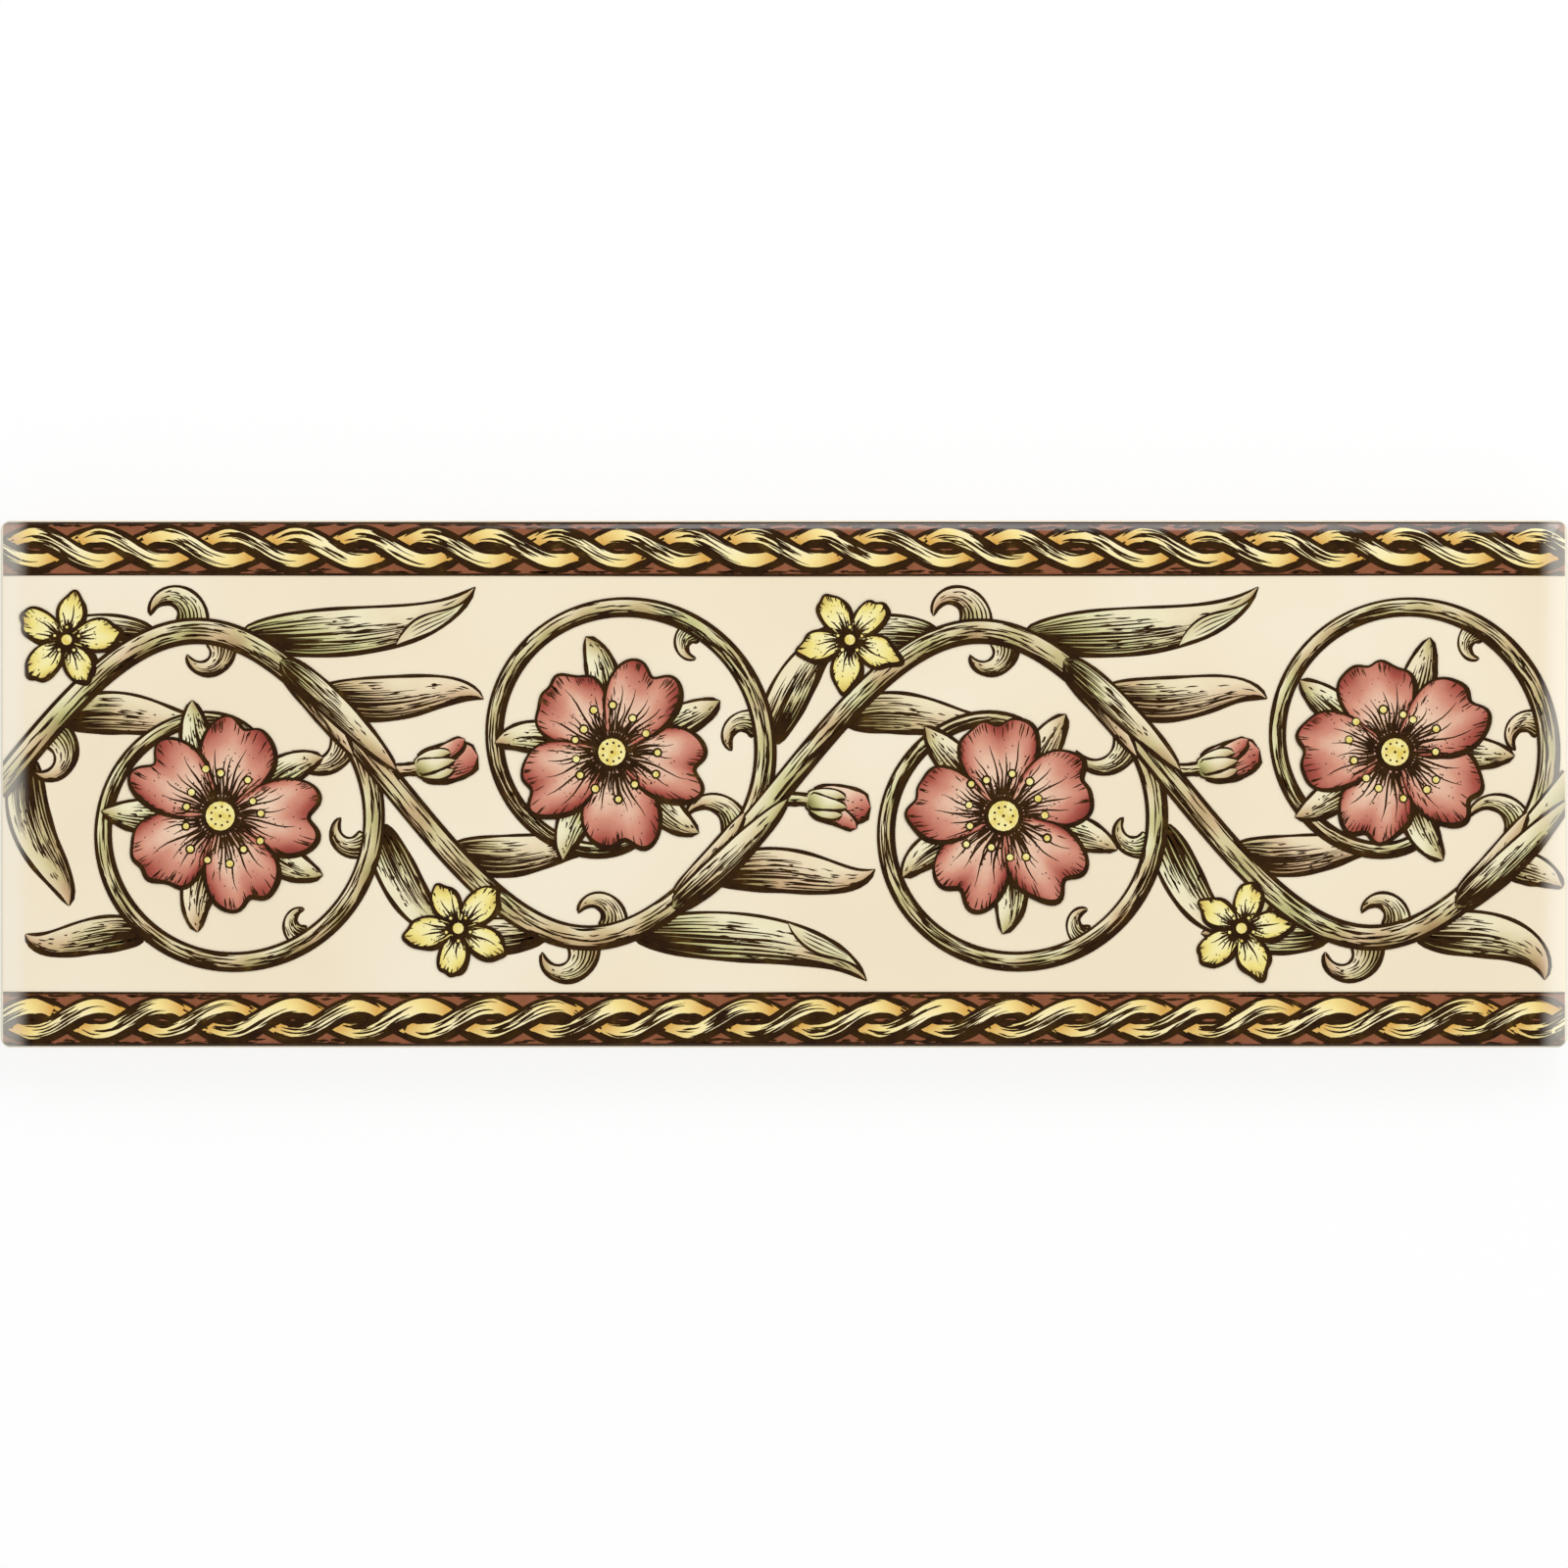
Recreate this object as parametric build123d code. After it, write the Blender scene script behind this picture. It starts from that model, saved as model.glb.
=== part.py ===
from build123d import *

import math
import os

# Ceramic border tile, pressed from clay dust in a die and fired as one piece. The origin is the
# middle of the back plane, +X runs along the border and +Z points out of the glazed face.
# Millimetres and degrees throughout.

# Size over the joint bands, and thickness from the back plane to the flat of the face
LENGTH = 152.0
WIDTH = 51.0
THICKNESS = 7.0
CORNER_RADIUS = 0.9

# Face: flat, with a cushioned margin that rolls down to a small arris
CUSHION_RUN = 2.5
CUSHION_DROP = 0.35
ARRIS_RADIUS = 0.4

# Edges: an upright joint band below the cushion, then a taper in to the back
JOINT_BAND = 2.8
BACK_TAPER = 5.0
BACK_EDGE_RADIUS = 0.5

# Back: a grid of drafted keying pockets for the adhesive, with a plain rim around it. Both
# counts are even, so two lands cross in the middle of the back.
POCKET_COLUMNS = 10
POCKET_ROWS = 4
POCKET_DEPTH = 0.8
POCKET_DRAFT = 20.0
POCKET_CORNER_RADIUS = 1.4
LAND_WIDTH = 2.2
RIM_WIDTH = 3.4

# Levels and spans that follow from the sizes above
SHOULDER = THICKNESS - CUSHION_DROP
BAND_FOOT = SHOULDER - JOINT_BAND
TAPER_INSET = BAND_FOOT * math.tan(math.radians(BACK_TAPER))
BACK_LENGTH = LENGTH - 2 * TAPER_INSET
BACK_WIDTH = WIDTH - 2 * TAPER_INSET


def half_section(half_span):
    """Upright section from the middle of the tile out to one edge."""
    outline = [
        Line((0, 0), (half_span - TAPER_INSET, 0)),
        Line((half_span - TAPER_INSET, 0), (half_span, BAND_FOOT)),
        Line((half_span, BAND_FOOT), (half_span, SHOULDER)),
        TangentArc((half_span - CUSHION_RUN, THICKNESS), (half_span, SHOULDER), tangent=(1, 0)),
        Line((half_span - CUSHION_RUN, THICKNESS), (0, THICKNESS)),
        Line((0, THICKNESS), (0, 0)),
    ]
    section = make_face(outline)
    section = fillet(nearest_corner(section, half_span, SHOULDER), ARRIS_RADIUS)
    section = fillet(nearest_corner(section, half_span - TAPER_INSET, 0), BACK_EDGE_RADIUS)
    return section


def nearest_corner(section, x, y):
    """The vertex of a flat section that lies closest to a point."""
    return section.vertices().sort_by_distance((x, y))[0]


def full_section(span):
    """Upright section across the whole tile, edge to edge."""
    right = half_section(span / 2)
    return right + mirror(right, Plane.YZ)


def corner_post():
    """Quarter-round upright that turns the edge section through one plan corner."""
    edge_strip = Pos(LENGTH / 2 - CORNER_RADIUS / 2, THICKNESS / 2) * Rectangle(CORNER_RADIUS, THICKNESS)
    profile = half_section(LENGTH / 2) & edge_strip
    profile = Pos(CORNER_RADIUS - LENGTH / 2, 0) * profile
    return revolve(Plane.XZ * profile, Axis.Z, revolution_arc=90)


def pressed_blank():
    """The tile without its keying: cushioned face, joint band, taper and rounded corners."""
    along = extrude(Plane.XZ * full_section(LENGTH), WIDTH / 2, both=True)
    across = extrude(Plane.YZ * full_section(WIDTH), LENGTH / 2, both=True)
    square_notched = Rectangle(LENGTH, WIDTH - 2 * CORNER_RADIUS)
    square_notched += Rectangle(LENGTH - 2 * CORNER_RADIUS, WIDTH)
    blank = along & across & extrude(square_notched, THICKNESS)
    post = corner_post()
    corner_x = LENGTH / 2 - CORNER_RADIUS
    corner_y = WIDTH / 2 - CORNER_RADIUS
    blank += Pos(corner_x, corner_y) * post
    blank += Pos(-corner_x, corner_y) * Rot(0, 0, 90) * post
    blank += Pos(-corner_x, -corner_y) * Rot(0, 0, 180) * post
    blank += Pos(corner_x, -corner_y) * Rot(0, 0, 270) * post
    return blank


def keying_pockets():
    """Shallow drafted pockets, set out in a grid between the rims of the back."""
    lands_along = (POCKET_COLUMNS - 1) * LAND_WIDTH
    lands_across = (POCKET_ROWS - 1) * LAND_WIDTH
    pocket_length = (BACK_LENGTH - 2 * RIM_WIDTH - lands_along) / POCKET_COLUMNS
    pocket_width = (BACK_WIDTH - 2 * RIM_WIDTH - lands_across) / POCKET_ROWS
    mouth = RectangleRounded(pocket_length, pocket_width, POCKET_CORNER_RADIUS)
    pocket = extrude(mouth, POCKET_DEPTH, taper=POCKET_DRAFT)
    pitch_along = pocket_length + LAND_WIDTH
    pitch_across = pocket_width + LAND_WIDTH
    grid = GridLocations(pitch_along, pitch_across, POCKET_COLUMNS, POCKET_ROWS)
    return [place * pocket for place in grid]


tile = pressed_blank() - keying_pockets()

os.makedirs("parts", exist_ok=True)
export_step(tile, "parts/tile.step")
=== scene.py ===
import cmath
import math
import random

import bmesh
import bpy
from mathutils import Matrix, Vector
from mathutils.bvhtree import BVHTree


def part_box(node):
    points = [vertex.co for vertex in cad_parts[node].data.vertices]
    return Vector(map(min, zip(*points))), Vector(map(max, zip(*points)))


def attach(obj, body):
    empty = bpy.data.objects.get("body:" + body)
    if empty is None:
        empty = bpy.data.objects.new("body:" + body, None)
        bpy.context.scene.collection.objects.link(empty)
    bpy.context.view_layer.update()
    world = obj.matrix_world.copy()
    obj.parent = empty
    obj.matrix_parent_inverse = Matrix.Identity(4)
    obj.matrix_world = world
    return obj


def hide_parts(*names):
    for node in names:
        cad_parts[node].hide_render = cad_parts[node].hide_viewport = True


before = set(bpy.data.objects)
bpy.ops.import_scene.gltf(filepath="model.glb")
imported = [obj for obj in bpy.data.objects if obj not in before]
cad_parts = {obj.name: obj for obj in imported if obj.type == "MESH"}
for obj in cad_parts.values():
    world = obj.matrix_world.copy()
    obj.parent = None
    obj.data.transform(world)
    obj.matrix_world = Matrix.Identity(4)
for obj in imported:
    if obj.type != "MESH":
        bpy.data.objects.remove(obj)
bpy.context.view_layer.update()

# A glazed ceramic border tile: a pressed body with a cushioned margin, printed in dark line and
# hand-tinted washes under one clear glaze. Two rope bands frame a running scroll of roses.
# The drawing is in millimetres on the face, with places as complex numbers: x along the border,
# y across it. Meshes are built in millimetres too, and scaled to metres when they are finished.

MM = 0.001
low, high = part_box("tile")
LENGTH = (high.x - low.x) / MM
WIDTH = (high.y - low.y) / MM
THICKNESS = (high.z - low.z) / MM

# The face's section, as in the CAD
CORNER_RADIUS = 0.9
CUSHION_RUN = 2.5
CUSHION_DROP = 0.35
ARRIS_RADIUS = 0.4

# The glaze: how thick it lies, how high above the back it stops on the edges, how far its lip
# wanders up and down, and how finely its rim is divided
GLAZE = 0.1
GLAZE_LINE = 4.0
LIP_WANDER = 0.45
RIM_STEP = 1.5

# The print, laid in levels: a wash at a whole level, its strokes and its outline in ink above it,
# and lines that cross a hair apart, so that no two films lie in one plane
LEVEL = 0.012
FIRST_LEVEL = 0.02
STROKE = 0.3
EDGE = 0.6
HAIR = 0.03

# How deep a film reaches into the glaze, how far inside the plan the print stops along the sides
# and at the ends, and how far in from the plan's edges it is scored to bend with the cushion
SUNK = 0.03
PRINT_MARGIN = 0.05
END_MARGIN = 0.2
FOLDS = (0.12, 0.2, 0.3, 0.45, 0.7, 1.1, 1.7, 2.5)

# Places nearer than this are one place
TOUCH = 0.001

# The drawing's main sizes: the rope band, the bays and their wave, the stems and the flowers
BAND = 5.2
BAYS = 4
BAY = LENGTH / BAYS
WAVE = 14.9
STEM = 2.1
BRANCH = 1.9
BRANCH_TIP = 1.1
ROSE_RADIUS = 9.6
BLOSSOM_RADIUS = 4.7

# The volute: where along the arch it forks off, its radius there, how far it turns in degrees, and
# its step
FORK = 13.6
VOLUTE_RADIUS = 15.2
VOLUTE_TURN = 384
VOLUTE_STEP = 0.7

# Widths of an outline and of a stroke, and the side that the drawing is lit from
OUTLINE = 0.4
HATCH = 0.21
LIGHT = cmath.rect(1, math.radians(125))

# The rope: two strands that cross a whole number of times, swinging about the band's middle
CROSSINGS = 24
ROPE_PITCH = LENGTH / CROSSINGS
ROPE_MIDDLE = WIDTH / 2 - 2.66
ROPE_SWING = 1.24
ROPE_HALF = 0.87
ROPE_OUTLINE = 0.5
GROUND_STROKES = 520


# Geometry of drawn lines

def dot(a, b):
    """How much of a goes the way of b."""
    return (a * b.conjugate()).real


def bend(start, heading, length, turn, ease, steps, curl=0.0):
    """Line that leaves start along a heading in degrees and turns by turn degrees, late if ease > 1.
    A curl turns its last part by so much more, as the tip of a leaf does."""
    points = [start]
    for k in range(steps):
        t = (k + 0.5) / steps
        angle = math.radians(heading + turn * t ** ease + curl * t ** 5)
        points.append(points[-1] + cmath.rect(length / steps, angle))
    return points


def directions(points):
    """The way a line runs at each of its points."""
    last = len(points) - 1
    runs = [points[min(i + 1, last)] - points[max(i - 1, 0)] for i in range(last + 1)]
    return [run / (abs(run) or 1) for run in runs]


def stretch(points, a, b, steps):
    """The stretch of a line from fraction a to fraction b, in even steps."""
    last = len(points) - 1
    out = []
    for k in range(steps + 1):
        f = (a + (b - a) * k / steps) * last
        i = min(int(f), last - 1)
        out.append(points[i] + (points[i + 1] - points[i]) * (f - i))
    return out


def beside(spine, half):
    """Function that gives the line beside a spine, at a share of its half width to the left."""
    dirs = directions(spine)

    def along(share):
        return [p + d * 1j * share * h for p, d, h in zip(spine, dirs, half)]

    return along


def clamp(value):
    return min(1.0, max(0.0, value))


class Sheet:
    """Everything drawn for one part of the print: washes and lines, each a grid of places, and
    round dots."""

    def __init__(self, seed, shift, up):
        self.rng = random.Random(seed)
        self.shift = shift
        self.up = up
        self.light = LIGHT if up else LIGHT.conjugate()
        self.patches = []
        self.dots = []

    def on_tile(self, p):
        """Where a drawn place lies on the tile: shifted along, turned over if the sheet hangs down."""
        return p.real + self.shift, p.imag if self.up else -p.imag, 0

    def wash(self, kind, level, rows, tints, warm=(0.5, 0.5)):
        """A patch of colour: rows of places, how deep the wash is at each, and how brown it is at
        the start and at the end of its rows."""
        self.patches.append((kind, level, rows, tints, warm))

    def ribbon(self, kind, level, along, across, depth, warm=(0.5, 0.5)):
        """A wash over a spine's whole width. The depth is a function of the share of the half width
        and of the number of the point."""
        shares = [-1 + 2 * k / across for k in range(across + 1)]
        rows = [along(s) for s in shares]
        tints = [[clamp(depth(s, i)) for i in range(len(rows[0]))] for s in shares]
        self.wash(kind, level, rows, tints, warm)

    def line(self, points, width, level, start, end, weight=0.0, light=None):
        """One engraved line, uneven as if cut by hand. It swells over the start's share of its length,
        thins over the end's, and is heavier on the shaded side by the weight."""
        light = self.light if light is None else light
        last = len(points) - 1
        phase = self.rng.uniform(0, 6.28)
        left, right = [], []
        for i, (p, d) in enumerate(zip(points, directions(points))):
            t = i / last
            swell = min(1.0, t / start if start else 1.0, (1 - t) / end if end else 1.0)
            swell = 0.18 + 0.82 * math.sin(swell * math.pi / 2)
            cut = 1 + 0.14 * math.sin(phase + 9 * t) + 0.10 * math.sin(2.3 * phase + 23 * t)
            half = width / 2 * swell * cut * (1 - dot(d * 1j, light) * weight)
            p += d * 1j * 0.03 * math.sin(1.7 * phase + 7 * t)
            left.append(p + d * 1j * half)
            right.append(p - d * 1j * half)
        level += HAIR * (len(self.patches) % 5)
        self.patches.append(("line", level, [left, right], None, (0, 0)))

    def spot(self, kind, centre, radius, level, sides=8):
        """A round touch of ink or colour."""
        level += HAIR * (len(self.dots) % 5)
        self.dots.append((kind, centre, radius * self.rng.uniform(0.92, 1.08), level, sides))


def belly(t, swell):
    """Leaf width law: nothing at the root, 1 at the swell, a point at the tip."""
    if t <= 0 or t >= 1:
        return 0.0
    return (t / swell) ** swell * ((1 - t) / (1 - swell)) ** (1 - swell)


def blade(sheet, spine, width, level, swell=0.42, power=1.25, root=0.5, warm=0.4, kind="leaf",
          lines=6, across=6, rib=True, roll=0.0):
    """A leaf, sepal or rolled petal: its wash, its outline and the strokes that run up it."""
    rng, light = sheet.rng, sheet.light
    last = len(spine) - 1
    dirs = directions(spine)
    half = [max(0.02, width / 2 * belly(i / last, swell) ** power + root / 2 * (1 - i / last) ** 3)
            for i in range(last + 1)]
    along = beside(spine, half)
    shaded = 1 if dot(dirs[last // 2] * 1j, light) < 0 else -1
    outline = min(OUTLINE, 0.1 + 0.11 * width)

    def depth(s, i):
        t = i / last
        ends = 0.55 * max(0, 1 - t * 2.2) + 0.25 * max(0, t * 3 - 2)
        return 0.24 + 0.34 * s * shaded + ends + 0.12 * math.sin(5 * t + warm * 9)

    sheet.ribbon(kind, level, along, across, depth, (warm - 0.3, warm + 0.45))
    # strokes from the root, close together and long on the shaded side
    strokes = lines * 2
    for k in range(strokes):
        f = (k + 0.5) / strokes
        path = along(shaded * (0.84 - 1.62 * f) + rng.uniform(-0.05, 0.05))
        end = min(0.95, (0.92 - 0.52 * f) * rng.uniform(0.8, 1.12))
        a = rng.uniform(0.0, 0.05)
        if rng.random() < 0.55:
            gap = rng.uniform(0.45, 0.8) * end
            sheet.line(stretch(path, gap + 0.03, end, 5), HATCH * 0.8, level + STROKE, 0.15, 0.8)
            end = gap
        sheet.line(stretch(path, a, end, 9), HATCH * (1.1 - 0.4 * f), level + STROKE, 0.04, 0.75, 0.1)
    # flecks
    for k in range(int(lines * width * 0.8)):
        a = rng.uniform(0.3, 0.86)
        path = along(shaded * rng.uniform(-0.5, 0.92))
        fleck = stretch(path, a, a + rng.uniform(0.02, 0.10), 3)
        sheet.line(fleck, rng.uniform(0.11, 0.19), level + STROKE, 0.5, 0.5)
    if rib:
        midrib = stretch(along(0.08 * shaded), 0.0, rng.uniform(0.6, 0.86), 12)
        sheet.line(midrib, 0.26, level + STROKE, 0.0, 0.85)
        for s in (0.35, 0.62):
            fold = stretch(along(s * shaded), 0, rng.uniform(0.2, 0.36), 6)
            sheet.line(fold, 0.45, level + STROKE, 0, 0.95)
    for s in (-1, 1):
        shade = -dot(dirs[last // 2] * 1j * s, light)
        sheet.line(along(s), outline * (1 + 0.15 * shade), level + EDGE, 0.06, 0.07, 0.12, light * s)
    if roll:
        rolled_edge(sheet, along, roll, level, kind, warm)


def rolled_edge(sheet, along, roll, level, kind, warm):
    """The margin of a leaf turned over near its tip, paler because its underside shows."""
    side = 1 if roll > 0 else -1
    count = 16
    outer = stretch(along(side), abs(roll), 1.0, count)
    inner = stretch(along(-side), abs(roll), 1.0, count)
    fold = []
    for k in range(count + 1):
        deep = 0.62 * math.sin(math.pi * (k / count) ** 0.8)
        fold.append(outer[k] + (inner[k] - outer[k]) * deep + (outer[k] - inner[k]) * 0.01)
    level += 1
    sheet.wash(kind, level, [outer, fold], [[0.05] * (count + 1), [0.30] * (count + 1)], (warm, warm))
    sheet.line(fold, 0.26, level + EDGE, 0.15, 0.15, 0.1)
    sheet.line(outer, OUTLINE * 0.9, level + EDGE, 0.15, 0.15, 0.1)
    for w in (0.25, 0.5, 0.75):
        stroke = [o + (f - o) * w for o, f in zip(outer[3:12], fold[3:12])]
        sheet.line(stroke, 0.13, level + STROKE, 0.3, 0.7)


def stem(sheet, spine, width, level, end_width=None, lines=4):
    """A running stem: its wash, its two outlines and broken lines, most on the shaded side."""
    rng, light = sheet.rng, sheet.light
    last = len(spine) - 1
    dirs = directions(spine)
    end_width = end_width or width
    along = beside(spine, [(width + (end_width - width) * i / last) / 2 for i in range(last + 1)])

    def depth(s, i):
        return 0.42 - 0.42 * dot(dirs[i] * 1j * s, light) + 0.12 * math.sin(i * 0.9)

    sheet.ribbon("leaf", level, along, 4, depth, (0.45, 0.45))
    total = sum(abs(spine[i + 1] - spine[i]) for i in range(last))
    for k in range(int(total / 1.7) * lines):
        s = rng.uniform(-0.85, 0.85)
        a = rng.uniform(0, 0.97)
        b = min(1, a + rng.uniform(1.2, 5.5) / total)
        shade = -dot(dirs[int((a + b) / 2 * last)] * 1j * s, light)
        if shade < -0.2 and rng.random() < 0.6:
            continue
        sheet.line(stretch(along(s), a, b, 6), 0.16 + 0.12 * max(0, shade), level + STROKE, 0.4, 0.6)
    for s in (-1, 1):
        sheet.line(along(s), OUTLINE, level + EDGE, 0, 0, 0.24, light * s)


def petal(sheet, centre, angle, spread, throat, reach, level, kind="rose", notch=0.12, power=0.33,
          veins=11, claw=0.86):
    """One petal: a lobe about the flower's centre, pale in its middle, veined from the throat."""
    rng = sheet.rng
    columns, steps = 20, 8
    side = 0.985
    ripple = [rng.uniform(-1, 1) for _ in range(3)]
    streak = rng.uniform(0, 6.28)

    def rim(v):
        lobe = max(0.0, math.cos(v * math.pi / 2)) ** power
        wave = ripple[0] * math.sin(5 * v) + ripple[1] * math.sin(9 * v + 1) + ripple[2] * math.cos(7 * v)
        return reach * (lobe * (1 + 0.035 * wave) - notch * math.exp(-(v / 0.16) ** 2))

    def place(u, v):
        out = throat + (max(rim(v), throat * 1.02) - throat) * u
        sweep = spread * v * (claw + (1 - claw) * math.sin(u * math.pi / 2))
        return centre + cmath.rect(out, math.radians(angle + sweep))

    side_light = -dot(cmath.rect(1, math.radians(angle)) * 1j, sheet.light)
    rows, tints = [], []
    for j in range(columns + 1):
        v = (-1 + 2 * j / columns) * side
        wet = 0.75 + 0.25 * math.sin(8 * v + streak)
        rows.append([place(i / steps, v) for i in range(steps + 1)])
        tints.append([clamp(0.03 + 0.92 * wet * (i / steps) ** 2.3 + 0.42 * abs(v) ** 4
                            + 0.5 * max(0, 0.3 - i / steps) + 0.16 * v * side_light)
                      for i in range(steps + 1)])
    sheet.wash(kind, level, rows, tints)
    for k in range(veins):
        v = -0.85 + 1.7 * (k + 0.5) / veins + rng.uniform(-0.05, 0.05)
        end = rng.uniform(0.28, 0.5) if k % 2 else rng.uniform(0.45, 0.78)
        path = [place(0.02 + end * q / 6, v + 0.04 * math.sin(q + streak)) for q in range(7)]
        sheet.line(path, HATCH * 1.15, level + STROKE, 0.0, 0.9)
    # ticks in from the rim, close together on the shaded side
    for k in range(veins * 3):
        v = rng.uniform(-0.92, 0.92)
        shade = clamp(0.5 + 0.5 * v * (1 if side_light > 0 else -1))
        a = rng.uniform(0.86, 0.93) - 0.22 * shade * rng.random()
        tick = [place(a + (0.98 - a) * q / 3, v) for q in range(4)]
        sheet.line(tick, 0.11 + 0.06 * shade, level + STROKE, 0.8, 0.1)
    # stipple
    for k in range(veins * 3):
        u = rng.uniform(0.12, 0.85) ** 1.2
        sheet.spot("line", place(u, rng.uniform(-0.85, 0.85)), rng.uniform(0.04, 0.09), level + STROKE, 5)
    # short strokes where the next petal overlaps
    for k in range(veins):
        v = rng.choice((-1, 1)) * rng.uniform(0.62, 0.93)
        a = rng.uniform(0.2, 0.6)
        sheet.line([place(a + 0.18 * q / 3, v) for q in range(4)], 0.14, level + STROKE, 0.3, 0.6)
    edge = [place(1, (-1 + 2 * j / 40) * side) for j in range(41)]
    sheet.line(edge, OUTLINE, level + EDGE, 0.06, 0.06, 0.35, -sheet.light)


def ray(centre, angle, a, b):
    """Straight line out from a centre, from distance a to b."""
    return [centre + cmath.rect(a + (b - a) * k / 3, angle) for k in range(4)]


def rose(sheet, centre, radius, level, turn):
    """A five-petalled wild rose seen from the front, with sepals behind and stamens in its throat."""
    rng = sheet.rng
    for k in range(5):
        heading = turn + 36 + 72 * k
        root = centre + cmath.rect(radius * 0.55, math.radians(heading))
        sepal = bend(root, heading, radius * 0.66, rng.uniform(-35, 35), 1.5, 12)
        blade(sheet, sepal, radius * 0.30, level, 0.35, 1.1, 0.6, lines=4, warm=0.3, across=4)
    for k, over in ((0, 1), (2, 1), (4, 2), (1, 3), (3, 3)):
        petal(sheet, centre, turn + 72 * k + rng.uniform(-3, 3), 42, radius * 0.2,
              radius * rng.uniform(0.97, 1.05), level + over)
    top = level + 4
    for k in range(40):
        angle = 2 * math.pi * (k + rng.uniform(-0.3, 0.3)) / 40
        throat = ray(centre, angle, radius * 0.17, radius * rng.uniform(0.24, 0.40))
        sheet.line(throat, 0.26, top, 0.0, 0.9)
    for k in range(90):
        out = radius * (0.26 + 0.30 * rng.random() ** 1.6)
        at = centre + cmath.rect(out, rng.uniform(0, 6.283))
        sheet.spot("line", at, rng.uniform(0.05, 0.12), top, 5)
    for k in range(13):
        angle = 2 * math.pi * (k + rng.uniform(-0.25, 0.25)) / 13
        reach = radius * rng.uniform(0.34, 0.50)
        sheet.line(ray(centre, angle, radius * 0.12, reach), 0.16, top + STROKE, 0, 0)
        anther = centre + cmath.rect(reach, angle)
        sheet.spot("line", anther, 0.48, top + EDGE, 9)
        sheet.spot("anther", anther, 0.31, top + 1, 9)
    sheet.spot("line", centre, radius * 0.19, top + EDGE, 16)
    sheet.spot("anther", centre, radius * 0.15, top + 1, 16)
    for k in range(9):
        at = centre + cmath.rect(radius * 0.095, 2 * math.pi * k / 9)
        sheet.spot("line", at, 0.13, top + 1 + STROKE, 6)
    sheet.spot("line", centre, 0.16, top + 1 + STROKE, 6)


def blossom(sheet, centre, radius, level, turn):
    """A small pale yellow flower with five pointed petals."""
    rng = sheet.rng
    for k in range(5):
        over = 2 if k == 4 else k % 2
        petal(sheet, centre, turn + 72 * k, 39, radius * 0.16, radius * rng.uniform(0.90, 1.05),
              level + over, kind="yellow", notch=-0.11, power=0.46, veins=6, claw=0.75)
    top = level + 3
    for k in range(20):
        angle = 2 * math.pi * (k + rng.uniform(-0.3, 0.3)) / 20
        throat = ray(centre, angle, radius * 0.14, radius * rng.uniform(0.26, 0.46))
        sheet.line(throat, 0.2, top, 0, 0.9)
    sheet.spot("line", centre, radius * 0.2, top + STROKE, 12)
    for k in range(5):
        at = centre + cmath.rect(radius * 0.26, 2 * math.pi * k / 5 + 0.3)
        sheet.spot("line", at, 0.28, top + STROKE)
        sheet.spot("anther", at, 0.15, top + 1)
    sheet.spot("anther", centre, radius * 0.11, top + 1, 10)


def bud(sheet, start, heading, length, level):
    """A rosebud: rolled petals held by three sepals."""
    rng = sheet.rng
    axis = bend(start, heading, length, rng.uniform(-12, 12), 1.0, 16)
    blade(sheet, axis, length * 0.60, level, 0.52, 0.7, kind="rose", lines=5, rib=False)
    side = bend(start, heading + 12, length * 0.9, 16, 1.0, 14)
    blade(sheet, side, length * 0.30, level + 1, 0.5, 0.8, kind="rose", lines=3, across=4, rib=False)
    for over, turn in enumerate((34, -34, 0)):
        sepal = bend(start, heading + turn, length * 0.62, -turn * 1.6, 1.6, 12)
        blade(sheet, sepal, length * 0.2, level + 2 + over, power=0.9, root=0.9, warm=0.3, lines=0,
              across=4, rib=False)


# The running scroll, one bay at a time: drawn about the bay's middle with its arch upwards

def arch_point(x, off=0.0):
    """Place and heading on the main stem's wave, off millimetres to its left."""
    wave = math.pi / BAY
    run = complex(1, -WAVE * wave * math.sin(wave * x))
    run /= abs(run)
    return complex(x, WAVE * math.cos(wave * x)) + run * 1j * off, math.degrees(cmath.phase(run))


def volute_line():
    """The branch that carries the arch's curve on round, inwards and under the rose. It tightens
    slowly for most of a round, and then fast."""
    start, heading = arch_point(FORK)
    points = [start]
    turned = 0.0
    while turned < VOLUTE_TURN:
        done = turned / 322
        radius = VOLUTE_RADIUS - 4.6 * min(done, 1) ** 0.9 - 5.4 * clamp((done - 0.84) * 5)
        turn = math.degrees(VOLUTE_STEP / radius)
        heading -= turn
        turned += turn
        points.append(points[-1] + cmath.rect(VOLUTE_STEP, math.radians(heading)))
    return points


def leaf(sheet, origin, lean, length, turn, width, level, ease, curl=0.0, **more):
    """A leaf that grows from a place and heading on a stem, leaning off it by some degrees."""
    start, heading = origin
    blade(sheet, bend(start, heading + lean, length, turn, ease, 26, curl), width, level, **more)


def hook(sheet, origin, lean, length, turn, width, level):
    """A small leaf that curls right round."""
    start, heading = origin
    spine = bend(start, heading + lean, length, turn, 1.15, 20)
    blade(sheet, spine, width, level, 0.16, 0.9, width * 0.5, lines=3, across=4, rib=False)


def main_stem(sheet):
    """The wave that runs the length of the tile and off both its ends."""
    start, end = -BAY / 2 - 0.5, LENGTH - BAY / 2 + 0.5
    stem(sheet, [arch_point(start + (end - start) * k / 240)[0] for k in range(241)], STEM, 6)


def budded_stalk(sheet, origin):
    start, heading = origin
    stalk = bend(start, heading + 40, 3.5, 22, 1.2, 8)
    stem(sheet, stalk, 1.0, 5, lines=1)
    bud(sheet, stalk[-1], heading + 62, 6.0, 6)


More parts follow.
